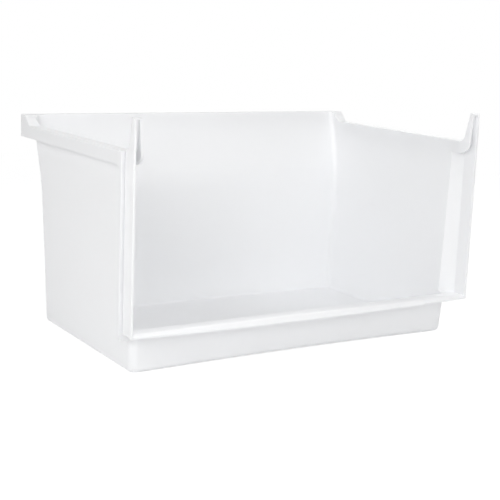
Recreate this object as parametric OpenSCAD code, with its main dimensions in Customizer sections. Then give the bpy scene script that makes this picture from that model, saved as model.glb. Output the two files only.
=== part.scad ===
// Pull-out drawer of a freezer: an open-fronted tub moulded in one piece with its side rails,
// its raised back rim, the frame round its front opening and the two horns that once held a front panel.
// Millimetres. X runs across the drawer, -Y is its open front, and Z is up from the surface it stands on.

/* [Tub] */
// Width across the outside of the tub at its bottom
tub_w = 406; // [360:1:450]
// Depth from the front plane to the back end of the rim
depth = 282; // [250:1:330]
// Height of the rails' top
rail_z = 225; // [200:1:250]
// Thickness of the moulded walls
wall = 2.2; // [1.8:0.1:3]
// Thickness of the floor
floor_t = 2.4; // [2:0.1:4]
// Outside radius of the tub's upright corners and bottom edges
tub_r = 9; // [6:0.5:14]
// Lean of the side walls, in degrees
side_lean = 1.93; // [1:0.1:3]
// Lean of the front wall below the sill, in degrees
front_lean = 4.1; // [2:0.1:6]
// Lean of the back wall below its bend, in degrees
back_lean = 1.2; // [0.5:0.1:3]
// Lean of the back wall above its bend, in degrees
back_flare = 15.6; // [8:0.2:20]
// Height of the bend in the back wall
bend_z = 161.5; // [120:0.5:180]
// Rise of the floor in the middle, between the two strips it stands on
crown = 2; // [1:0.1:4]
// Width of each strip that the drawer stands on
strip_w = 20; // [14:1:40]

/* [Rails] */
// Reach of each rail beyond the tub wall
rail_out = 9.6; // [7:0.1:14]
// Reach of each rail into the tub, past the inner face of its wall
rail_in = 2.4; // [1:0.1:4]
// Height of the skirt that hangs from the rails and the back rim
skirt_h = 13.1; // [10:0.1:18]
// Radius where the skirt's lower edge turns down beside the frame
skirt_r = 8; // [4:0.5:12]
// Rise of the back rim above the rails
back_rise = 11.4; // [6:0.1:16]
// Reach of the back rim behind the back wall
back_out = 5; // [4:0.1:10]
// Depth of the back rim's level top at the rails
back_flat = 13; // [9:0.5:20]
// Length of the slope from the back rim down to each rail
ramp_len = 12; // [6:0.5:24]

/* [Front frame] */
// Depth of the frame from the front plane to its flange
frame_d = 17.3; // [14:0.1:24]
// Reach of the frame's sides beyond the tub wall, level with the rails
frame_out = 5; // [4:0.1:6.5]
// Thickness of the frame's sides
frame_t = 2.6; // [2:0.1:3.4]
// Reach of the flange beyond the frame's sides
flange_out = 2.9; // [1.5:0.1:4]
// Width of the strip that the flange turns back along its sides
flange_strip = 4.7; // [3:0.1:6]
// Height of the flange's lower edge
flange_z = 38.4; // [34:0.1:40]
// Radius of the flange's lower corners
flange_r = 4.5; // [3:0.5:8]
// Length of the slanted step between frame and tub, front to back
jog_d = 15.6; // [12:0.1:20]
// Gap between the flange and the tub's front wall
front_gap = 1.8; // [1:0.1:4]

/* [Sill] */
// Height of the sill's lower front edge at the sides
sill_z = 43.2; // [42:0.1:60]
// Thickness of the sill
sill_t = 2.5; // [2:0.1:3.5]
// Upward slope of the sill towards the back, in degrees
sill_slope = 11; // [4:0.5:16]
// Droop of the sill's middle below its ends
sill_sag = 2.3; // [1:0.1:4]

/* [Horns] */
// Height of each horn above the rails
horn_h = 33; // [20:1:45]
// Depth of each horn at its tip
tip_d = 6; // [5:0.1:9]
// Depth of each horn where it meets the rail
root_d = 12; // [10:0.1:16]
// Radius between the back of the horn and the rail
root_r = 5; // [3:0.5:8]
// Thickness of the horn's inner plate
plate_t = 2.3; // [1.8:0.1:3]
// Setback of the inner plate behind the front plane
plate_set = 2.2; // [1:0.1:4]
// Drop of the inner plate below the rails' top
plate_drop = 14; // [8:0.5:24]
// Radius of the inner plate's lower front corner
plate_r = 12; // [6:0.5:12]
// Reach of the inner plate past the rail's inner edge
plate_in = 0.8; // [0:0.1:2]
// Outward lean of the inner plate, in degrees
plate_lean = 2.8; // [0:0.1:4]

/* [Hidden] */
rim_z = rail_z + back_rise;
tub_half = tub_w / 2;
foot_half = tub_half - strip_w;
rail_half = side_x(rail_z) + rail_out;
rail_edge = side_x(rail_z) - wall - rail_in;
frame_half = side_x(rail_z) + frame_out;
flange_half = frame_half + flange_out;
flange_back = frame_d + wall;
ramp_y = depth - back_flat - ramp_len;
jog_x = frame_half - frame_t;
plate_x = rail_edge - plate_in;
// Height of what is cut by, or reaches through, the whole drawer
tall = rim_z + horn_h + 20;
// Steps in each bowed edge
bow_n = 8;
// Thickness of the slices that a hull joins
slice = 0.5;
// Depth to which a horn's rounded root dips into the rail, and its back stands in between its sides
root_sink = 0.4;
$fn = 48;

// Outside of the side wall, front wall and back wall at height z
function side_x(z) = tub_w / 2 + z * tan(side_lean);
function front_y(z) = frame_d + wall + front_gap + (sill_z - z) * tan(front_lean);
function bend_y() = depth - back_out - (rim_z - bend_z) * tan(back_flare);
function back_y(z) = z < bend_z
    ? bend_y() - (bend_z - z) * tan(back_lean)
    : bend_y() + (z - bend_z) * tan(back_flare);

// Points along an arc round [x, y], from angle a to angle b
function arc(x, y, r, a, b, n = 8) = [
    for (i = [0:n])
    let (t = a + (b - a) * i / n)
    [x + r * cos(t), y + r * sin(t)]
];

// Points of a bow from x = -half to half, with its middle at height h
function bow(half, h, lift = 0) = [
    for (i = [-bow_n:bow_n])
    [half * i / bow_n, lift + h * (1 - pow(i / bow_n, 2))]
];

// Outline drawn in Y and Z, run across the drawer from x = a to x = b
module across(a, b) {
    translate([a, 0, 0])
    rotate([90, 0, 90])
    linear_extrude(height = b - a)
    children();
}

// Outline drawn in X and Z, run back from y = a to y = b
module back_from(a, b) {
    translate([0, b, 0])
    rotate([90, 0, 0])
    linear_extrude(height = b - a)
    children();
}

// Left and right copies
module both_sides() {
    children();
    mirror([1, 0, 0]) children();
}

// Places a child at the tub's four corners at height z, pulled in by r + t
module at_corners(z, r, t) {
    for (x = [-1, 1] * (side_x(z) - t - r), y = [front_y(z) + t + r, back_y(z) - t - r]) {
        translate([x, y, z]) children();
    }
}

// Rounded foot of a tub corner
module foot(r) {
    rotate_extrude($fn = 32)
    polygon(concat([[0, r]], arc(0, r, r, -90, 0, 7)));
}

// One level slice of a tub corner
module corner_slice(r) {
    translate([0, 0, -slice])
    cylinder(r = r, h = slice, $fn = 32);
}

// The tub as a solid, its walls moved in by t and its floor up by lift; it reaches the height top
module tub_solid(t, lift, top) {
    r = tub_r - t;
    hull() {
        at_corners(lift, r, t) foot(r);
        at_corners(bend_z, r, t) corner_slice(r);
    }
    hull() {
        at_corners(bend_z, r, t) corner_slice(r);
        at_corners(top, r, t) corner_slice(r);
    }
}

// Floor's bow, lifted by t, over whatever lies below it
module floor_bow(t) {
    back_from(-1, depth)
    polygon(concat(bow(foot_half, crown, t), [[foot_half, t - 20], [-foot_half, t - 20]]));
}

// Space inside the tub
module cavity() {
    difference() {
        tub_solid(wall, floor_t, tall);
        floor_bow(floor_t);
    }
}

// Everything above the sill's surface, lifted by t
module above_sill(t) {
    translate([0, 0, sill_z + t])
    rotate([90 + sill_slope, 0, 0])
    translate([0, 0, -2 * depth])
    linear_extrude(height = 3 * depth)
    polygon(concat(bow(rail_half, -sill_sag), [[rail_half, tall], [-rail_half, tall]]));
}

// Plan of the front frame and its slanted step, for half width x, at height z
module frame_plan(z, x, front, step_y, t) {
    run = 1.12;
    reach = side_x(z) - t;
    end_x = x + (reach - x) * run;
    end_y = step_y + jog_d * run;
    translate([0, 0, z - slice])
    linear_extrude(height = slice)
    polygon([
        [-x, front], [x, front], [x, step_y], [end_x, end_y], [-end_x, end_y], [-x, step_y]
    ]);
}

// Front frame as a solid, from the ground to the height top
module frame_solid(x, front, step_y, t, top) {
    hull() {
        frame_plan(slice, x, front, step_y, t);
        frame_plan(top, x, front, step_y, t);
    }
}

// The open front, down to the sill's upper surface
module front_opening() {
    intersection() {
        above_sill(sill_t);
        frame_solid(jog_x, -1, frame_d, wall, tall);
    }
}

// Tub and front frame before they are hollowed out
module outside() {
    tub_solid(0, 0, rim_z);
    intersection() {
        above_sill(0);
        frame_solid(frame_half, 0, frame_d + wall / 2, 0, rail_z);
    }
}

// Side view of everything below the top of the rails and the back rim
module below_rail_top() {
    across(-rail_half - 1, rail_half + 1)
    polygon([
        [-1, -1], [-1, rail_z], [ramp_y, rail_z], [ramp_y + ramp_len, rim_z], [depth + 1, rim_z], [depth + 1, -1]
    ]);
}

// Flat web on top of the rails and the back rim
module web() {
    step = wall * ramp_len / (ramp_len + back_rise);
    across(-rail_half, rail_half)
    polygon([
        [root_d, rail_z],
        [ramp_y, rail_z],
        [ramp_y + ramp_len, rim_z],
        [depth, rim_z],
        [depth, rim_z - wall],
        [ramp_y + ramp_len + step, rim_z - wall],
        [ramp_y + step, rail_z - wall],
        [root_d, rail_z - wall]
    ]);
}

// Skirt below the web, with the strip that runs down beside the frame
module skirt() {
    low = rail_z - skirt_h;
    turn = frame_d + flange_strip + skirt_r;
    across(-rail_half, rail_half)
    polygon(concat(
        [[frame_d, flange_z + flange_r], [turn - skirt_r, flange_z + flange_r]],
        arc(turn, low - skirt_r, skirt_r, 180, 90),
        [[depth, low], [depth, rim_z - wall / 2], [ramp_y + ramp_len, rim_z - wall / 2]],
        [[ramp_y + wall / 2, rail_z - wall / 2], [frame_d, rail_z - wall / 2]]
    ));
}

// Plan of the rails and the back rim, drawn in by t
module rim_plan(t) {
    x = rail_half - t;
    narrow = flange_half - t;
    wide_y = frame_d + 2 * flange_strip;
    translate([0, 0, -1])
    linear_extrude(height = tall)
    polygon([
        [-frame_half, root_d - 1], [frame_half, root_d - 1], [frame_half, frame_d],
        [narrow, frame_d], [x, wide_y], [x, depth - t], [-x, depth - t], [-x, wide_y],
        [-narrow, frame_d], [-frame_half, frame_d]
    ]);
}

// Flange behind the frame, square to the front
module flange() {
    low = flange_z + flange_r;
    side = flange_half - flange_r;
    back_from(frame_d, flange_back)
    polygon(concat(
        arc(side, low, flange_r, -90, 0),
        [[flange_half, rail_z - wall / 2], [-flange_half, rail_z - wall / 2]],
        arc(-side, low, flange_r, 180, 270)
    ));
}

// Points down the back of a horn, from its tip to inside the rail, drawn in by t
function horn_edge(t) = concat(
    [[tip_d - t, rail_z + horn_h - t]],
    arc(root_d - t + root_r, rail_z + root_r - root_sink, root_r, 180, 270)
);

// Side view of a horn above the rail, drawn in by t
module horn_side(t) {
    polygon(concat(
        [[0, rail_z - wall], [0, rail_z + horn_h - t]],
        horn_edge(t),
        [[root_d - t + root_r, rail_z - wall]]
    ));
}

// Outer wall of a horn
module horn_wall() {
    across(jog_x, frame_half)
    horn_side(0);
}

// Back and top of a horn, between its outer wall and its inner plate
module horn_back() {
    across(plate_x + plate_t / 2, jog_x + frame_t / 2)
    difference() {
        horn_side(root_sink);
        translate([-1, 0]) horn_side(wall);
    }
}

// Inner plate of a horn, which hangs below the rail and ends in a round corner
module horn_plate() {
    low = rail_z - plate_drop;
    end_y = frame_d + jog_d;
    translate([plate_x, 0, rail_z])
    rotate([0, plate_lean, 0])
    translate([-plate_x, 0, -rail_z])
    across(plate_x, plate_x + plate_t)
    polygon(concat(
        [[end_y, rail_z], [end_y, low]],
        arc(plate_set + plate_r, low + plate_r, plate_r, 270, 180),
        [[plate_set, rail_z + horn_h]],
        horn_edge(0)
    ));
}

// Inner edge of a rail, which stands in past the tub wall, and the web over the horn's pocket
module rail_lip() {
    across(rail_edge, rail_edge + rail_in + wall / 2)
    polygon([
        [frame_d, rail_z], [ramp_y, rail_z], [ramp_y, rail_z - wall], [frame_d, rail_z - wall]
    ]);
    across(rail_edge, jog_x + frame_t / 2)
    polygon([
        [root_d, rail_z], [frame_d + jog_d, rail_z], [frame_d + jog_d, rail_z - wall], [root_d, rail_z - wall]
    ]);
}

// The whole moulding, with its front plane at y = 0
module moulding() {
    difference() {
        union() {
            intersection() {
                outside();
                below_rail_top();
            }
            intersection() {
                web();
                rim_plan(0);
            }
            intersection() {
                skirt();
                difference() {
                    rim_plan(0);
                    rim_plan(wall);
                }
            }
            flange();
        }
        cavity();
        front_opening();
        floor_bow(0);
    }
    both_sides() {
        horn_wall();
        horn_back();
        horn_plate();
        rail_lip();
    }
}

module drawer_body() {
    color("white")
    translate([0, -depth / 2, 0])
    moulding();
}

drawer_body();
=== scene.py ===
# %% [markdown]
# # A freezer drawer in white polystyrene
# The drawer is one injection moulding: a tub, two rails, a raised back rim, a frame round the open
# front and two small horns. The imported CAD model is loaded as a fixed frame, in metres, with X across
# the drawer, -Y its open front and Z up. Everything below is placed in that frame.

# %% Load the frame
import bmesh
import bpy
import math
from mathutils import Matrix, Vector


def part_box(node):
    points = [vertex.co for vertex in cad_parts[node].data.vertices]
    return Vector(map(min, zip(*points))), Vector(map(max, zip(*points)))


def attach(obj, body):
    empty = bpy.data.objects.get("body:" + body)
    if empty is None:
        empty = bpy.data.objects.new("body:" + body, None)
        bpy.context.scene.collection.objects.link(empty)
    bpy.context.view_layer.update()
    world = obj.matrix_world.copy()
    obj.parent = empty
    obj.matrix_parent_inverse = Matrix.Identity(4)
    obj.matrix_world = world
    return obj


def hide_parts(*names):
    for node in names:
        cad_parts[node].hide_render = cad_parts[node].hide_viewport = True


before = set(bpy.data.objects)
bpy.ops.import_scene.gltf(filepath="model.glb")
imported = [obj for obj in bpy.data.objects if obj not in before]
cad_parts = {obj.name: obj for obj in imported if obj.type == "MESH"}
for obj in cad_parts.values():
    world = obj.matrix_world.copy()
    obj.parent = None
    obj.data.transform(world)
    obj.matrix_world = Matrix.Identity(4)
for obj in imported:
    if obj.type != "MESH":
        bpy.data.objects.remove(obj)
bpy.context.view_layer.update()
drawer_low, drawer_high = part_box("drawer_body")
print("CAD box in mm:", [round(1000 * v) for corner in (drawer_low, drawer_high) for v in corner])

# %% [markdown]
# # Camera
# The photograph looks at the drawer from its front left and a little from above. Its place was solved
# from the drawer's own straight edges. A plain perspective camera does it, with no shift and no blur.

# %% Set the camera
CAMERA_AT = (-0.68428, -1.09682, 0.35102)
CAMERA_TURN, CAMERA_DIP, CAMERA_ROLL = -32.157, 11.424, 2.280
FOCAL_PIXELS, PICTURE_PIXELS, SENSOR_MM = 1137.084, 500, 36


def turned(degrees, axis):
    return Matrix.Rotation(math.radians(degrees), 4, axis)


camera_data = bpy.data.cameras.new("camera")
camera_data.sensor_width = SENSOR_MM
camera_data.lens = FOCAL_PIXELS * SENSOR_MM / PICTURE_PIXELS
camera = bpy.data.objects.new("camera", camera_data)
bpy.context.scene.collection.objects.link(camera)
view_turn = turned(CAMERA_TURN, "Z") @ turned(90 - CAMERA_DIP, "X") @ turned(CAMERA_ROLL, "Z")
camera.matrix_world = Matrix.Translation(CAMERA_AT) @ view_turn
bpy.context.scene.camera = camera
print("camera lens in mm:", round(camera_data.lens, 2))

# %% [markdown]
# # Helpers for materials
# Colours are written as sRGB hex values, as a paint chart gives them, and one function turns them to
# the linear values that the shader works with. Another adds a node with its settings and links. A third
# tells the rays that see a surface from the light that bounces off it, for the floor and the world.

# %% Colour and node helpers


def linear(hex_colour):
    """An sRGB hex colour as linear red, green, blue and alpha."""
    parts = [int(hex_colour[i:i + 2], 16) / 255 for i in (1, 3, 5)]
    return [c / 12.92 if c <= 0.04045 else ((c + 0.055) / 1.055) ** 2.4 for c in parts] + [1.0]


def add_node(tree, kind, settings=None, **inputs):
    """Adds a node, sets its properties, and fills its inputs with values or links them to sockets."""
    node = tree.nodes.new(kind)
    for name, value in (settings or {}).items():
        setattr(node, name, value)
    for name, value in inputs.items():
        key = int(name[1:]) if name[0] == "_" and name[1:].isdigit() else name.replace("_", " ")
        if isinstance(value, bpy.types.NodeSocket):
            tree.links.new(value, node.inputs[key])
        else:
            node.inputs[key].default_value = value
    return node


def new_tree(material):
    """Empties a material's node tree and returns it with its output node."""
    material.use_nodes = True
    material.node_tree.nodes.clear()
    return material.node_tree, material.node_tree.nodes.new("ShaderNodeOutputMaterial")


def looked_at(tree):
    """1 for rays from the camera, from gloss or through a clear surface, and 0 for bounced light."""
    path = add_node(tree, "ShaderNodeLightPath")
    clear = add_node(
        tree, "ShaderNodeMath", {"operation": "MAXIMUM"},
        _0=path.outputs["Is Glossy Ray"], _1=path.outputs["Is Transmission Ray"],
    )
    either = add_node(
        tree, "ShaderNodeMath", {"operation": "MAXIMUM"},
        _0=path.outputs["Is Camera Ray"], _1=clear.outputs[0],
    )
    return either.outputs[0]


print("a white of #F7F8FA in linear values:", [round(c, 3) for c in linear("#F7F8FA")[:3]])

# %% [markdown]
# # Finish: injection-moulded polystyrene
# Fridge makers mould such drawers in high-impact polystyrene, in a polished steel mould. That leaves
# a smooth white surface with a soft gloss, broken only by what the process and the kitchen add: slow
# waves a few centimetres long where the wall cooled, a fine satin grain, slightly clouded whiteness,
# and short scuffs that dull the gloss. White polystyrene is also milky: light goes some millimetres into
# it and comes out beside, which softens its shades, and subsurface scattering gives that. A photograph
# of plastic could be laid on it, but patterns worked out from Object coordinates keep their real size
# on every side. The real grain is finer than a tenth of a millimetre and is drawn coarser, at 0.9 mm,
# so that it shows at all.

# %% Material for the drawer
PLASTIC_COLOURS = ("#F7F8FA", "#FAFBFD")
WAVE_MM, CLOUD_MM, GRAIN_MM, SCUFF_MM = 38, 90, 0.9, 3.2
WAVE_HEIGHT_MM, GRAIN_HEIGHT_MM, BUMP = 0.3, 0.05, 0.12
CLOUD_FROM, CLOUD_TO, SCUFF_FROM, SCUFF_TO = 0.3, 0.7, 0.66, 0.78
SCUFF_STRETCH = (1.0, 9.0, 1.0)
PLASTIC_IOR = 1.59
MILKY, MILKY_DEPTH_MM = 0.6, 6
SATIN_FROM, SATIN_TO, SCUFF_ADDS = 0.31, 0.35, 0.12


def per_metre(size_mm):
    return 1000 / size_mm


plastic = bpy.data.materials.new("injection_moulded_polystyrene")
tree, output = new_tree(plastic)
place = add_node(tree, "ShaderNodeTexCoord").outputs["Object"]
clouds = add_node(tree, "ShaderNodeTexNoise", Vector=place, Scale=per_metre(CLOUD_MM), Detail=1.0)
waves = add_node(tree, "ShaderNodeTexNoise", Vector=place, Scale=per_metre(WAVE_MM), Detail=1.0)
grain = add_node(tree, "ShaderNodeTexNoise", Vector=place, Scale=per_metre(GRAIN_MM), Detail=2.0)
streaky = add_node(tree, "ShaderNodeMapping", Vector=place, Scale=SCUFF_STRETCH)
scuffs = add_node(
    tree, "ShaderNodeTexNoise", Vector=streaky.outputs[0], Scale=per_metre(SCUFF_MM), Detail=4.0
)
scuff_lines = add_node(
    tree, "ShaderNodeMapRange", Value=scuffs.outputs["Fac"], From_Min=SCUFF_FROM, From_Max=SCUFF_TO
)
whiteness = add_node(
    tree, "ShaderNodeMix", {"data_type": "RGBA"}, Factor=clouds.outputs["Fac"],
    _6=linear(PLASTIC_COLOURS[0]), _7=linear(PLASTIC_COLOURS[1]),
)
sheen_spots = add_node(
    tree, "ShaderNodeMapRange", Value=clouds.outputs["Fac"],
    From_Min=CLOUD_FROM, From_Max=CLOUD_TO, To_Min=SATIN_FROM, To_Max=SATIN_TO,
)
worn = add_node(
    tree, "ShaderNodeMath", {"operation": "MULTIPLY_ADD"},
    _0=scuff_lines.outputs["Result"], _1=SCUFF_ADDS, _2=sheen_spots.outputs["Result"],
)
wave_bump = add_node(
    tree, "ShaderNodeBump", Strength=BUMP, Distance=WAVE_HEIGHT_MM / 1000, Height=waves.outputs["Fac"]
)
grain_bump = add_node(
    tree, "ShaderNodeBump", Strength=BUMP, Distance=GRAIN_HEIGHT_MM / 1000,
    Height=grain.outputs["Fac"], Normal=wave_bump.outputs["Normal"],
)
shader = add_node(
    tree, "ShaderNodeBsdfPrincipled", Base_Color=whiteness.outputs[2], IOR=PLASTIC_IOR,
    Subsurface_Weight=MILKY, Subsurface_Radius=(1.0, 1.0, 1.0), Subsurface_Scale=MILKY_DEPTH_MM / 1000,
    Roughness=worn.outputs["Value"], Normal=grain_bump.outputs["Normal"],
)
tree.links.new(shader.outputs["BSDF"], output.inputs["Surface"])
print("plastic material nodes:", len(tree.nodes))

# %% [markdown]
# # How the shape is made
# The real drawer is one shot of plastic whose walls are all about as thick. It could be carved out of
# solid blocks, but a maker of moulds thinks in walls, so the thin sheet that runs through the middle of
# every wall is modelled here, and a Solidify modifier gives it its thickness at the end. Three sheets
# may meet at an edge, as ribs do, and the modifier's complex mode joins them cleanly. Half of the drawer
# is shaped and then mirrored. All places are written in mm: X from the middle, Y back from the front
# plane and Z up from the ground.

# %% Places in millimetres
MM = 0.001
FRONT_Y = drawer_low.y
SKIN = 2.4
HALF_SKIN = SKIN / 2
MERGE = 0.02 * MM


def at(x=0.0, y=0.0, z=0.0):
    """A place on the drawer, given in mm, in the frame's metres."""
    return Vector((x * MM, FRONT_Y + y * MM, z * MM))


def in_mm(point):
    return point.x / MM, (point.y - FRONT_Y) / MM, point.z / MM


def near(a, b, gap=0.05):
    return abs(a - b) < gap


print("front plane in metres:", round(FRONT_Y, 4), "wall in mm:", SKIN)

# %% [markdown]
# # Picking by place
# By hand one would click on corners, edges and faces. A script has no mouse, so it picks what lies
# where a test says, such as all corners at one height. It works in edit mode, through bmesh, and starts
# with nothing picked, because every operator acts on all that is selected. The round numbers in the
# tests are only fences: each lies in an empty stretch between what is meant and its neighbours.

# %% Pick, flatten and put


def pick(kind, test, along=None):
    """Selects the VERT, EDGE or FACE items whose corners all pass a test of x, y and z in mm.
    along keeps only the edges that run that way."""
    bpy.ops.mesh.select_mode(type=kind)
    bpy.ops.mesh.select_all(action="DESELECT")
    shape = bmesh.from_edit_mesh(bpy.context.object.data)
    items = {"VERT": shape.verts, "EDGE": shape.edges, "FACE": shape.faces}[kind]
    count = 0
    for item in items:
        corners = [item] if kind == "VERT" else item.verts
        if not all(test(*in_mm(corner.co)) for corner in corners):
            continue
        if along:
            way = item.verts[1].co - item.verts[0].co
            if "xyz"[max(range(3), key=lambda i: abs(way[i]))] != along:
                continue
        item.select_set(True)
        count += 1
    bmesh.update_edit_mesh(bpy.context.object.data)
    return count


def flatten(**planes):
    """Flattens what is selected onto planes such as x=208 or z=225, in mm."""
    for axis, value in planes.items():
        bpy.ops.transform.resize(
            value=[0 if axis == name else 1 for name in "xyz"], center_override=at(**{axis: value})
        )


def put(test, **planes):
    """Picks the corners that pass a test and flattens them onto planes."""
    pick("VERT", test)
    flatten(**planes)


print("picking works by place, in mm")

# %% Blocks, cuts, growth and rounding


def box_between(name, low, high):
    """Adds a block between two corners, in mm, and opens it in edit mode."""
    bpy.ops.object.select_all(action="DESELECT")
    middle, size = (at(*low) + at(*high)) / 2, at(*high) - at(*low)
    bpy.ops.mesh.primitive_cube_add(size=1, location=middle, scale=size)
    bpy.ops.object.transform_apply(location=True, rotation=True, scale=True)
    bpy.context.object.name = name
    bpy.ops.object.mode_set(mode="EDIT")
    return bpy.context.object


def cut(point, normal, test=lambda x, y, z: True, drop=False):
    """Cuts the faces that pass the test with a plane. drop deletes those of them beyond it."""
    pick("FACE", test)
    bpy.ops.mesh.bisect(plane_co=at(*point), plane_no=normal)
    if drop:
        pick("FACE", lambda *place: test(*place) and sum(
            n * (c - p) for n, c, p in zip(normal, place, point)
        ) > -0.01)
        bpy.ops.mesh.delete(type="FACE")


def grow(x=0.0, y=0.0, z=0.0):
    """Extrudes the selected edges into new faces, by a distance in mm."""
    bpy.ops.mesh.extrude_edges_move(TRANSFORM_OT_translate={"value": (x * MM, y * MM, z * MM)})


def round_off(radius, segments):
    bpy.ops.mesh.bevel(
        offset_type="OFFSET", offset=radius * MM, segments=segments,
        profile=0.5, affect="EDGES", clamp_overlap=False,
    )


def face_count():
    return len(bmesh.from_edit_mesh(bpy.context.object.data).faces)


print("merging corners closer than", MERGE / MM, "mm")

# %% [markdown]
# # Tub
# The tub is drafted, as every moulded box is: its walls lean out by a degree or two, so that it slides
# off the steel core. In its upper third the back wall bends out by some 15 degrees, softly, over about
# 30 mm, and the side walls draw in by a hair near the rails. A tapered block could be made with one
# scale at its top, but with a bend the levels are best placed one by one: the block's top is extruded
# from level to level, and the corners of each level are then put where the wall is at that height. The
# upright corners and the bottom edge are rounded last, the bottom with the smaller radius.

# %% Where the tub's walls are
TUB_HALF, FRONT_WALL, BACK_WALL, FRAME_FOOT = 203.0, 21.3, 256.1, 43.2
SIDE_SLOPE = math.tan(math.radians(1.93))
FRONT_SLOPE = math.tan(math.radians(4.1))
BACK_SLOPE, FLARE = math.tan(math.radians(1.2)), math.tan(math.radians(15.6))
BEND_Z, BEND_HALF, TUCK_Z, CORE_TOP = 161.5, 15.0, 205.0, 240.0
BEND_LEVELS = [BEND_Z + BEND_HALF * part for part in (-1, -0.5, 0, 0.5, 1)]
TUCK_SLOPE = 0.4 / 20


def wall_x(z):
    """Half width to the middle of the side wall at a height."""
    return TUB_HALF - HALF_SKIN + z * SIDE_SLOPE


def front_wall_y(z):
    """Depth of the low front wall, measured down from the frame's foot."""
    return FRONT_WALL + HALF_SKIN + (FRAME_FOOT - z) * FRONT_SLOPE


def back_wall_y(z):
    """Depth of the back wall: nearly upright, a soft bend, and the flare above it."""
    in_bend = min(max(z - BEND_Z + BEND_HALF, 0), 2 * BEND_HALF)
    past_bend = max(z - BEND_Z - BEND_HALF, 0)
    rise = in_bend ** 2 / (4 * BEND_HALF) + past_bend
    return BACK_WALL - HALF_SKIN + (z - BEND_Z) * BACK_SLOPE + (FLARE - BACK_SLOPE) * rise


print("half widths at the bottom and at the bend:", round(wall_x(0), 1), round(wall_x(BEND_Z), 1))

# %% Raise the tub's core, level by level
TUB_LEVELS = [HALF_SKIN] + BEND_LEVELS + [TUCK_Z, CORE_TOP]
first_corners = (-wall_x(0), FRONT_WALL, HALF_SKIN), (wall_x(0), BACK_WALL, TUB_LEVELS[1])
tub = box_between("moulded_drawer", *first_corners)
below = TUB_LEVELS[1]
for level in TUB_LEVELS[2:]:
    pick("FACE", lambda x, y, z: near(z, below))
    bpy.ops.mesh.extrude_region_move(TRANSFORM_OT_translate={"value": (0, 0, (level - below) * MM)})
    below = level
for level in TUB_LEVELS:
    half = wall_x(min(level, TUCK_Z)) - TUCK_SLOPE * max(0, level - TUCK_Z)
    put(lambda x, y, z: near(z, level) and x > 0, x=half)
    put(lambda x, y, z: near(z, level) and x < 0, x=-half)
    put(lambda x, y, z: near(z, level) and y < 100, y=front_wall_y(level))
    put(lambda x, y, z: near(z, level) and y > 100, y=back_wall_y(level))
print("tub levels in mm:", TUB_LEVELS)

# %% Round its corners
CORNER_R, BOTTOM_R = 7.8, 4.2
pick("EDGE", lambda x, y, z: True, along="z")
round_off(CORNER_R, segments=6)
pick("EDGE", lambda x, y, z: z < 2)
round_off(BOTTOM_R, segments=4)
print("tub core faces:", face_count())
bpy.ops.object.mode_set(mode="OBJECT")

# %% [markdown]
# # Front frame
# The open front has a frame that is wider than the tub. Behind its straight sides a slanted step leads
# in to the tub's walls. A second block is made for it, whose back half narrows on each side along the
# step. Because the tub's walls lean, the step's surface winds slightly, and a face with four corners
# can't follow that. So the block is cut at several heights first, which leaves each strip nearly flat.

# %% Shape the frame's block
FRAME_X, STEP_Y, STEP_END = 214.3, 17.8, 33.4
SILL_Z, BLOCK_FRONT, BLOCK_BACK = 46.6 - HALF_SKIN, -12, 42.0
STEP_LEVELS = [SILL_Z, 65.0, 85.0, 105.0, 126.0] + BEND_LEVELS + [190.0, TUCK_Z, CORE_TOP + 5]


def step_x(y, z):
    """Half width of the slanted step at a depth and a height."""
    return FRAME_X - (FRAME_X - wall_x(z)) * (y - STEP_Y) / (STEP_END - STEP_Y)


block_corners = (-FRAME_X, BLOCK_FRONT, SILL_Z), (FRAME_X, STEP_Y, STEP_LEVELS[-1])
frame_block = box_between("front_frame_block", *block_corners)
pick("FACE", lambda x, y, z: y > 10)
bpy.ops.mesh.extrude_region_move(TRANSFORM_OT_translate={"value": (0, (BLOCK_BACK - STEP_Y) * MM, 0)})
for level in STEP_LEVELS[1:-1]:
    cut((0, 0, level), (0, 0, 1))
for level in STEP_LEVELS:
    for side in (-1, 1):
        put(
            lambda x, y, z: y > 40 and x * side > 0 and near(z, level),
            x=side * step_x(BLOCK_BACK, min(level, TUCK_Z)),
        )
print("frame block faces:", face_count())
bpy.ops.object.mode_set(mode="OBJECT")

# %% [markdown]
# # Join and open
# The two blocks are joined by a Boolean modifier, which finds the lines where the frame meets the tub.
# Then all that isn't wall is cut away: the left half, which the mirror gives back later, everything in
# front of the front plane, and the tops. The side walls end at the rails and the back wall at the higher
# rim, with a slope between the two, so the tops are cut with three planes. The last two cuts divide the
# side wall behind and below the frame, because a large face with many corners at one end can crease.

# %% Join the blocks
bpy.ops.object.select_all(action="DESELECT")
bpy.context.view_layer.objects.active = tub
tub.select_set(True)
join = tub.modifiers.new("join", "BOOLEAN")
join.operation, join.object, join.solver = "UNION", frame_block, "EXACT"
bpy.ops.object.modifier_apply(modifier="join")
bpy.data.objects.remove(frame_block)
print("faces after the join:", len(tub.data.polygons))

# %% Cut the half open
RAIL_Z, RIM_Z = 225 - HALF_SKIN, 236.4 - HALF_SKIN
RAMP_Y, RAMP_END = 257.5, 269.5
WALL_FROM, WALL_HIGH = 44.0, 42.0
bpy.ops.object.mode_set(mode="EDIT")
cut((0, 0, 0), (-1, 0, 0), drop=True)
cut((0, 0, 0), (0, -1, 0), drop=True)
pick("FACE", lambda x, y, z: z > CORE_TOP - 0.1)
bpy.ops.mesh.delete(type="FACE")
cut((0, 0, RIM_Z), (0, 0, 1), drop=True)
for depth in (RAMP_Y, RAMP_END):
    cut((0, depth, 0), (0, 1, 0))
cut((0, 0, RAIL_Z), (0, 0, 1), lambda x, y, z: y < RAMP_Y + 0.01, drop=True)
ramp_normal = Vector((0, RAIL_Z - RIM_Z, RAMP_END - RAMP_Y)).normalized()
cut((0, RAMP_Y, RAIL_Z), ramp_normal, lambda x, y, z: RAMP_Y - 0.1 < y < RAMP_END + 0.1, drop=True)
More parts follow.
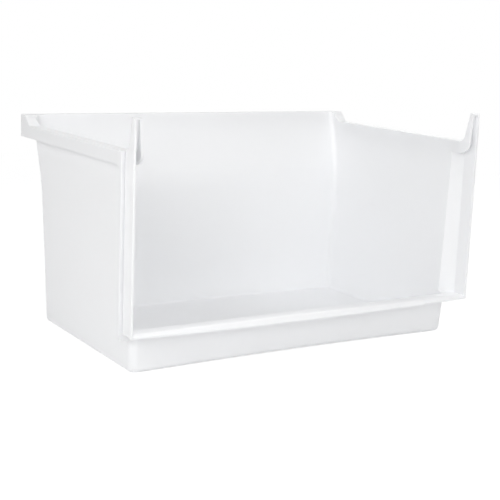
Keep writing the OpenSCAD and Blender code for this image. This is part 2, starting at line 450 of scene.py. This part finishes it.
cut((0, WALL_FROM, 0), (0, 1, 0), lambda x, y, z: x > 200)
cut((0, 0, WALL_HIGH), (0, 0, 1), lambda x, y, z: x > 200 and y < WALL_FROM and z < 150)
print("faces after opening:", face_count())

# %% [markdown]
# # Sill
# The low sill catches the light more than any other place on the drawer. From the inside it has a soft
# rear edge, a flat top, a ridge along it, and a lip that falls to the front and sags a little in the
# middle, as a long moulded edge does when it cools. The bottom is bowed up along its length as well.
# The rear edge is a bevel, and so is the ridge, once the rows of corners have been set to their heights.
# For the two curves the half is cut into stations, and each station is lifted along a parabola.

# %% Cut the sill's rows and stations
SILL_R, RIDGE_Y = 2.2, 5.0
STATION, STATIONS = 30.5, 6
pick("EDGE", lambda x, y, z: near(z, SILL_Z) and 20 < y < 31)
round_off(SILL_R, segments=3)
for i in range(1, STATIONS + 1):
    cut((i * STATION, 0, 0), (1, 0, 0))
for depth in (RIDGE_Y, STEP_Y):
    cut((0, depth, 0), (0, 1, 0), lambda x, y, z: z < 60)
print("faces with stations:", face_count())

# %% Set the ridge and bow the lip and the bottom
RIDGE_Z, RIDGE_R, SILL_CROWN = 47.6 - HALF_SKIN, 1.2, 0.3
LIP_Z, SAG, SAG_HALF = 44.4, 3.0, 215.0
CROWN, CROWN_HALF, CROWN_BELOW = 2.0, 183.0, 9.3


def bow(test, rise, half):
    """Lifts the middle of what passes the test in a shallow curve across the drawer."""
    shape = bmesh.from_edit_mesh(bpy.context.object.data)
    stations = sorted({round(in_mm(v.co)[0], 2) for v in shape.verts if test(*in_mm(v.co))})
    for station in stations:
        if station < half:
            pick("VERT", lambda x, y, z: test(x, y, z) and near(x, station, 0.01))
            bpy.ops.transform.translate(value=(0, 0, rise * (1 - (station / half) ** 2) * MM))
    return len(stations)


put(lambda x, y, z: near(y, 0) and z < 60, z=LIP_Z)
put(lambda x, y, z: near(y, RIDGE_Y) and z < 60, z=RIDGE_Z)
put(lambda x, y, z: near(y, STEP_Y) and z < 60, z=SILL_Z + SILL_CROWN)
print("stations along the lip:", bow(lambda x, y, z: near(y, 0) and z < 60, -SAG, SAG_HALF))
pick("EDGE", lambda x, y, z: near(y, RIDGE_Y) and z < 60, along="x")
round_off(RIDGE_R, segments=2)
print("stations along the bottom:", bow(lambda x, y, z: z < CROWN_BELOW, CROWN, CROWN_HALF))

# %% [markdown]
# # Horn
# Where rail and frame meet, a small horn stands up and steadies the drawer's front panel. Its outer wall
# is the frame's side carried on upward: the side's top edge is extruded level by level, and each new
# row is set back along a hollow curve that grows steep towards the tip.

# %% Grow the horn's outer wall
HORN_BACK = (
    (225.2, 14.0), (226.8, 12.0), (229.0, 10.6), (234.0, 8.9), (242.0, 7.4), (250.0, 6.1), (256.8, 4.9)
)
HORN_LEAN = 0.4 / 33
below = RAIL_Z
pick("EDGE", lambda x, y, z: near(z, RAIL_Z) and near(x, FRAME_X) and y < STEP_Y + 0.1)
for level, back in HORN_BACK:
    grow(z=level - below)
    put(lambda x, y, z: near(z, level) and y > 1, y=back)
    put(lambda x, y, z: near(z, level) and x > 210, x=FRAME_X - HORN_LEAN * (level - RAIL_Z))
    pick("EDGE", lambda x, y, z: near(z, level) and x > 210)
    below = level
print("horn wall faces:", pick("FACE", lambda x, y, z: z > RAIL_Z - 0.1))

# %% [markdown]
# # Inner plate of the horn
# Beside that wall, some 8 mm further in, runs a second plate: the tub's own wall, which comes forward,
# ends in a round lower corner and rises into the horn. The slot between the two takes a lug of the
# front panel. The plate is extruded forward from the tub's wall, a spin sweeps its corner, which is then
# stretched from a circle to the right depth, and the same levels as before carry it up.

# %% Carry the wall forward
PLATE_LOW, PLATE_FRONT = 211.5, 2.2
PLATE_X, PLATE_X_AT, PLATE_SLOPE = 206.0, 230, 0.0625


def plate_x(z):
    """Half width to the middle of the plate at a height."""
    return PLATE_X + PLATE_SLOPE * (z - PLATE_X_AT)


def on_plate(x, y, z):
    return 200 < x < 207 and z > PLATE_LOW - 0.1 and y < STEP_Y + 0.1


cut((0, 0, PLATE_LOW), (0, 0, 1), lambda x, y, z: y < 60 or (x > 200 and z > 150 and y < 260))
pick(
    "EDGE",
    lambda x, y, z: PLATE_LOW - 0.1 < z < RAIL_Z + 0.1 and 30 < y < 40 and 205 < x < 210,
    along="z",
)
grow(x=-2, y=-12)
flatten(y=STEP_Y)
for level in (PLATE_LOW, RAIL_Z):
    put(lambda x, y, z: near(z, level) and near(y, STEP_Y) and 200 < x < 210, x=plate_x(level))
print("plate corners at the step:", pick("VERT", lambda x, y, z: on_plate(x, y, z) and near(y, STEP_Y)))

# %% Sweep its round corner and raise it
pick("EDGE", lambda x, y, z: near(y, STEP_Y) and 200 < x < 210 and z > PLATE_LOW - 0.1)
bpy.ops.mesh.spin(steps=8, angle=math.pi / 2, center=at(plate_x(RAIL_Z), STEP_Y, RAIL_Z), axis=(1, 0, 0))
pick("VERT", on_plate)
stretch = (STEP_Y - PLATE_FRONT) / (RAIL_Z - PLATE_LOW)
bpy.ops.transform.resize(value=(1, stretch, 1), center_override=at(0, STEP_Y, 0))
bpy.ops.mesh.remove_doubles(threshold=MERGE)
heights = {round(in_mm(v.co)[2], 2) for v in bmesh.from_edit_mesh(tub.data).verts if on_plate(*in_mm(v.co))}
for height in heights:
    put(lambda x, y, z: on_plate(x, y, z) and near(z, height), x=plate_x(height))
below = RAIL_Z
pick("EDGE", lambda x, y, z: on_plate(x, y, z) and near(z, RAIL_Z))
for level, back in HORN_BACK:
    grow(z=level - below)
    put(lambda x, y, z: near(z, level) and x < 210 and y > PLATE_FRONT + 0.5, y=back)
    put(lambda x, y, z: near(z, level) and x < 210, x=plate_x(level))
    pick("EDGE", lambda x, y, z: near(z, level) and x < 210)
    below = level
print("inner plate faces:", pick("FACE", lambda x, y, z: x < 210 and on_plate(min(x, 206.9), y, z)))

# %% [markdown]
# # Close the horn
# The two plates end in the same curve, so a bridge between their back edges gives the horn's hollow
# back and its little cap in one go. One more face closes the top over the slanted step.

# %% Bridge the plates
HORN_CURVE = [(STEP_Y, RAIL_Z)] + [(back, level) for level, back in HORN_BACK]


def on_horn_curve(x, y, z):
    cap = near(z, HORN_BACK[-1][0]) and y < PLATE_FRONT + 0.1
    return x > 200 and (cap or any(near(y, b) and near(z, h) for b, h in HORN_CURVE))


print("edges to bridge:", pick("EDGE", on_horn_curve))
bpy.ops.mesh.bridge_edge_loops()
pick("VERT", lambda x, y, z: near(z, RAIL_Z) and x > 200 and (near(y, STEP_Y) or 30 < y < 40))
bpy.ops.mesh.edge_face_add()
print("faces over the step:", pick("FACE", lambda x, y, z: near(z, RAIL_Z)))

# %% [markdown]
# # Rails and back rim
# The rails hang the drawer in the freezer: a level web runs out from the top of each wall, and a skirt
# hangs from its outer edge. The higher rim at the back is the same profile, so both are made at once.
# The top edges are extruded straight up, out of the way of everything else, put at the width and depth
# of the rail's outer edge, and lowered again. Extruding their outer edges down then gives the skirt.
# Near the front the skirt runs in a quarter round into the narrow strip of the flange.

# %% Run the web out from the walls
RAIL_X, RIM_Y = 220.2 - HALF_SKIN, 282 - HALF_SKIN
FLANGE_X, FLANGE_Y, FLANGE_BEND = 219.5 - HALF_SKIN, STEP_Y + 0.6, 8.3
SKIRT_Z, SKIRT_R, STRIP_Y, STRIP_LOW = 211.5, 8.0, 22.0, 42.9
WEB_FROM, LIFT = 206.8, 60


def top_z(y):
    """Height of the rails, the slope and the back rim, in the middle of the web."""
    return min(RIM_Z, RAIL_Z + max(0, y - RAMP_Y) * (RIM_Z - RAIL_Z) / (RAMP_END - RAMP_Y))


def lifted(z):
    return z > RAIL_Z + LIFT - 1


pick("EDGE", lambda x, y, z: near(z, top_z(y), 0.2) and (x > WEB_FROM and y > STEP_Y - 0.1 or y > 250))
grow(z=LIFT)
put(lambda x, y, z: lifted(z) and (y < RAMP_END + 1 or x > 199.2), x=RAIL_X)
put(lambda x, y, z: lifted(z) and y > RAMP_END + 1, y=RIM_Y)
put(lambda x, y, z: lifted(z) and near(y, STEP_Y), x=FLANGE_X, y=FLANGE_Y)
print("corners of the outer edge:", pick("VERT", lambda x, y, z: lifted(z)))
bpy.ops.transform.translate(value=(0, 0, -LIFT * MM))

# %% Draw the web in towards the flange
TURNS = [STRIP_Y + SKIRT_R * (1 - math.cos(math.radians(angle))) for angle in (0, 22.5, 45, 67.5, 90)]


def web_x(y):
    """Half width of the web where it draws in to the flange."""
    return min(RAIL_X, FLANGE_X + (RAIL_X - FLANGE_X) * (y - FLANGE_Y) / FLANGE_BEND)


for turn in TURNS:
    cut((0, turn, 0), (0, 1, 0), lambda x, y, z: near(z, RAIL_Z) and x > WEB_FROM and y < 60)
for turn in TURNS:
    put(lambda x, y, z: x > 216 and near(y, turn) and near(z, RAIL_Z), x=web_x(turn))
bpy.ops.mesh.select_all(action="SELECT")
bpy.ops.mesh.remove_doubles(threshold=MERGE)
print("places where the skirt turns:", len(TURNS))

# %% Hang the skirt, with its quarter round and the strip below it


def on_skirt_end(x, y, z):
    return z < 200 and (x > FLANGE_X - 0.1 or y > RIM_Y - 0.1)


def on_web_edge(x, y, z):
    return z > RAIL_Z - 0.1 and (x > FLANGE_X - 0.1 or y > RIM_Y - 0.1)


print("skirt edges:", pick("EDGE", on_web_edge))
grow(z=-LIFT)
put(on_skirt_end, z=SKIRT_Z)
for turn in [FLANGE_Y] + TURNS[:-1]:
    reach = min(SKIRT_R, STRIP_Y + SKIRT_R - turn)
    drop = SKIRT_R - math.sqrt(max(0, SKIRT_R ** 2 - reach ** 2))
    put(lambda x, y, z: x > FLANGE_X - 0.1 and near(y, turn) and near(z, SKIRT_Z), z=SKIRT_Z - drop)
pick("EDGE", lambda x, y, z: x > FLANGE_X - 0.1 and y < STRIP_Y + 0.1 and z < SKIRT_Z - 1)
grow(z=STRIP_LOW - (SKIRT_Z - SKIRT_R))

# %% [markdown]
# # Flange behind the frame
# Behind the frame's side stands a narrow flange, and between the two the photograph shows a shallow
# groove with a bright line on either side. The strip is the flange's outer edge. The groove's floor
# is one tall face between the strip and the slanted step, set a little behind the strip's front edge.
# Behind the sill the flange hangs down as a low apron, and the groove's floor runs down to meet it.
# How far an edge is first drawn down makes no difference, because it is then put at the flange's foot.

# %% Close the groove
FLANGE_LOW, GROOVE_Y, HANG = 38.4, 20.8, 20


def on_step(x, y, z):
    return STEP_Y - 0.1 < y < STEP_END + 1 and z > 45 and near(x, step_x(y, z), 0.8)


cut((0, GROOVE_Y, 0), (0, 1, 0), lambda x, y, z: x > 203 and y < 36 and 40 < z < RAIL_Z + 0.1)
corners = pick(
    "VERT",
    lambda x, y, z: near(y, GROOVE_Y) and z < RAIL_Z + 0.1 and (on_step(x, y, z) or x > FLANGE_X - 0.1),
)
print("corners of the groove's floor:", corners)
bpy.ops.mesh.edge_face_add()
pick("EDGE", lambda x, y, z: near(y, GROOVE_Y) and 40 < z < 46 and x > 210, along="x")
grow(z=-HANG)
flatten(z=FLANGE_LOW)

# %% Hang the apron behind the sill
APRON_END_X = step_x(GROOVE_Y, SILL_Z)
pick("EDGE", lambda x, y, z: near(y, STEP_Y) and z < 50, along="x")
grow(z=-HANG)
flatten(z=FLANGE_LOW)
pick("EDGE", lambda x, y, z: near(y, STEP_Y) and near(x, FRAME_X) and z < 46, along="z")
grow(x=APRON_END_X - FRAME_X, y=GROOVE_Y - STEP_Y)


def at_apron_end(x, y, z):
    return near(y, GROOVE_Y) and near(x, APRON_END_X, 0.2) and z < 47


put(at_apron_end, x=APRON_END_X)
put(lambda x, y, z: at_apron_end(x, y, z) and z > 44, z=SILL_Z + SILL_CROWN)
bpy.ops.mesh.select_all(action="SELECT")
bpy.ops.mesh.remove_doubles(threshold=MERGE)
print("half sheet faces:", face_count())
bpy.ops.object.mode_set(mode="OBJECT")

# %% [markdown]
# # Mirror and thicken
# The half sheet is mirrored, and its normals are made to agree before it gets its thickness. Solidify
# in its complex mode copes with edges where three sheets meet. It also makes the front edges lean a
# little, throws one hidden corner of each horn's pocket far up, and lifts a corner or two of the side
# walls above the frame's underside. All three are put back in their place.

# %% Mirror the sheet
tub.modifiers.new("mirror", "MIRROR").merge_threshold = MERGE
bpy.ops.object.modifier_apply(modifier="mirror")
bpy.ops.object.mode_set(mode="EDIT")
bpy.ops.mesh.select_all(action="SELECT")
bpy.ops.mesh.remove_doubles(threshold=MERGE)
bpy.ops.mesh.normals_make_consistent(inside=False)
print("sheet faces:", face_count())
bpy.ops.object.mode_set(mode="OBJECT")

# %% Give it its thickness
skin = tub.modifiers.new("skin", "SOLIDIFY")
skin.solidify_mode = "NON_MANIFOLD"
skin.nonmanifold_thickness_mode, skin.nonmanifold_boundary_mode = "CONSTRAINTS", "NONE"
skin.thickness, skin.offset = SKIN * MM, 0
bpy.ops.object.modifier_apply(modifier="skin")
bpy.ops.object.mode_set(mode="EDIT")
put(lambda x, y, z: near(y, 0, 0.5) or near(y, 0, 1) and z < 60, y=0)
put(lambda x, y, z: z > RAIL_Z + 5 and 25 < y < 40, z=PLATE_LOW)
put(lambda x, y, z: abs(x) > 204.3 and 28.5 < y < 36 and 43.9 < z < 45, z=SILL_Z - HALF_SKIN)
plastic_litres = 1000 * bmesh.from_edit_mesh(tub.data).calc_volume()
print("plastic in litres:", round(plastic_litres, 3))
bpy.ops.object.mode_set(mode="OBJECT")

# %% [markdown]
# # Soft edges
# No moulded edge is razor sharp, and the thin bright lines along the photograph's edges come from their
# small radius. A Bevel modifier rounds every edge that turns by more than 50 degrees. Smooth shading
# hides the facets of the rounded corners, the slanted step keeps its crisp lines, and weighted normals
# keep the large walls flat.

# %% Round the edges and smooth the faces
EDGE_R = 0.5
edges = tub.modifiers.new("edges", "BEVEL")
edges.width, edges.segments, edges.limit_method = EDGE_R * MM, 2, "ANGLE"
edges.angle_limit, edges.use_clamp_overlap, edges.harden_normals = math.radians(50), True, False
bpy.ops.object.modifier_apply(modifier="edges")
bpy.ops.object.shade_smooth_by_angle(angle=math.radians(30))
bpy.ops.object.mode_set(mode="EDIT")
crisp = pick(
    "EDGE",
    lambda x, y, z: abs(x) > 201 and 46 < z < PLATE_LOW + 0.5 and (16 < y < 19.5 or 31 < y < 36),
    along="z",
)
bpy.ops.mesh.mark_sharp()
print("crisp edges of the slanted step:", crisp)
bpy.ops.object.mode_set(mode="OBJECT")
even = tub.modifiers.new("even", "WEIGHTED_NORMAL")
even.mode, even.weight, even.keep_sharp = "FACE_AREA", 50, True
bpy.ops.object.modifier_apply(modifier="even")

# %% [markdown]
# # Hand the shape to the frame
# The modelled drawer stands for the CAD body from here on. It takes the polystyrene finish and stays
# where the body is, because nothing on this drawer moves.

# %% Replace the CAD body
tub.data.materials.append(plastic)
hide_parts("drawer_body")
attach(tub, "root")
print("finished faces:", len(tub.data.polygons))

# %% [markdown]
# # Floor
# The drawer was photographed on white board. A floor could be lit until it turns white, but that light
# would wash out the plastic too. So this floor has two faces, told apart by the kind of ray: for light
# that bounces it is plain pale board, and for the camera and for reflections it is board with a white
# glow, which still shows the soft shadow under the drawer. Further out it fades to full white, so that
# no horizon shows.

# %% Lay the floor
FLOOR_SIZE, FADE_FROM, FADE_TO = 12.0, 0.45, 1.6
BOARD_COLOUR, SHADE_COLOUR, WHITE, GLOW = "#F3F3F3", "#A8A8AA", "#FFFFFF", 0.80
bpy.ops.object.select_all(action="DESELECT")
bpy.ops.mesh.primitive_plane_add(size=FLOOR_SIZE)
floor = bpy.context.active_object
floor.name = "floor"
floor_paint = bpy.data.materials.new("matt_white_board")
tree, output = new_tree(floor_paint)
place = add_node(tree, "ShaderNodeTexCoord").outputs["Object"]
distance = add_node(tree, "ShaderNodeVectorMath", {"operation": "LENGTH"}, _0=place)
fade = add_node(
    tree, "ShaderNodeMapRange", {"interpolation_type": "SMOOTHSTEP"},
    Value=distance.outputs["Value"], From_Min=FADE_FROM, From_Max=FADE_TO,
)
board = add_node(tree, "ShaderNodeBsdfDiffuse", Color=linear(BOARD_COLOUR))
shaded = add_node(tree, "ShaderNodeBsdfDiffuse", Color=linear(SHADE_COLOUR))
glow = add_node(tree, "ShaderNodeEmission", Color=linear(WHITE), Strength=GLOW)
close_by = add_node(tree, "ShaderNodeAddShader", _0=shaded.outputs[0], _1=glow.outputs[0])
far_off = add_node(tree, "ShaderNodeEmission", Color=linear(WHITE), Strength=1.0)
seen = add_node(
    tree, "ShaderNodeMixShader", _0=fade.outputs["Result"], _1=close_by.outputs[0], _2=far_off.outputs[0]
)
both = add_node(
    tree, "ShaderNodeMixShader", _0=looked_at(tree), _1=board.outputs[0], _2=seen.outputs[0]
)
tree.links.new(both.outputs[0], output.inputs["Surface"])
floor.data.materials.append(floor_paint)
print("floor in metres:", FLOOR_SIZE)

# %% [markdown]
# # Light
# The photograph is a soft product shot, with no hard shadow on the drawer. Sun or point lamps would draw
# sharp edges, so rectangular area lamps are used: two large ones at the left and the front left, small
# ones near the left and near the front that fill the flange and the low front wall, one at the front
# right, one overhead in front that brightens the sill, and one behind on the right that reaches the
# floor of the tub. Their powers were found by comparing the render's tones with the photograph's, place
# by place, and they stay low enough that the white plastic is hardly anywhere fully white.

# %% Hang the lamps
LAMPS = {
    "left": ((-2.4, -0.6, 1.1), (1.8, 1.6), 13.5),
    "left_front": ((-1.9, -1.9, 1.2), (1.2, 1.2), 10.0),
    "near_left": ((-0.9, -0.5, 0.4), (0.5, 0.5), 1.4),
    "near_front": ((-0.2, -1.6, 0.7), (1.0, 0.8), 4.0),
    "front_right": ((0.6, -1.9, 0.55), (1.0, 0.8), 3.4),
    "top_front": ((0.0, -0.9, 1.8), (1.4, 1.0), 11.0),
    "back_right": ((1.1, 0.7, 1.1), (0.9, 0.9), 6.5),
}
LAMP_TARGET = Vector((0.0, 0.0, 0.1))
for name, (place, (wide, high), watts) in LAMPS.items():
    lamp_data = bpy.data.lights.new(name, "AREA")
    lamp_data.shape = "RECTANGLE"
    lamp_data.size, lamp_data.size_y, lamp_data.energy = wide, high, watts
    lamp = bpy.data.objects.new(name, lamp_data)
    bpy.context.scene.collection.objects.link(lamp)
    lamp.location = place
    lamp.rotation_euler = (LAMP_TARGET - Vector(place)).to_track_quat("-Z", "Y").to_euler()
print("lamps:", ", ".join(LAMPS))

# %% [markdown]
# # White surroundings
# A studio's white walls send back a little light from everywhere. The world does that here with a dim
# even light, while the camera and the glossy plastic see it as white.

# %% Light the world
WORLD_LIGHT = 0.2
world = bpy.data.worlds.new("white_surroundings")
bpy.context.scene.world = world
world.use_nodes = True
world.node_tree.nodes.clear()
tree = world.node_tree
dim = add_node(tree, "ShaderNodeBackground", Color=linear(WHITE), Strength=WORLD_LIGHT)
white = add_node(tree, "ShaderNodeBackground", Color=linear(WHITE), Strength=1.0)
both = add_node(tree, "ShaderNodeMixShader", _0=looked_at(tree), _1=dim.outputs[0], _2=white.outputs[0])
add_node(tree, "ShaderNodeOutputWorld", Surface=both.outputs[0])
print("world light:", WORLD_LIGHT)

# %% [markdown]
# Show the picture
# The picture is shown with the Standard view, which leaves colours as they are.

# %% Set the view
bpy.context.scene.view_settings.view_transform = "Standard"
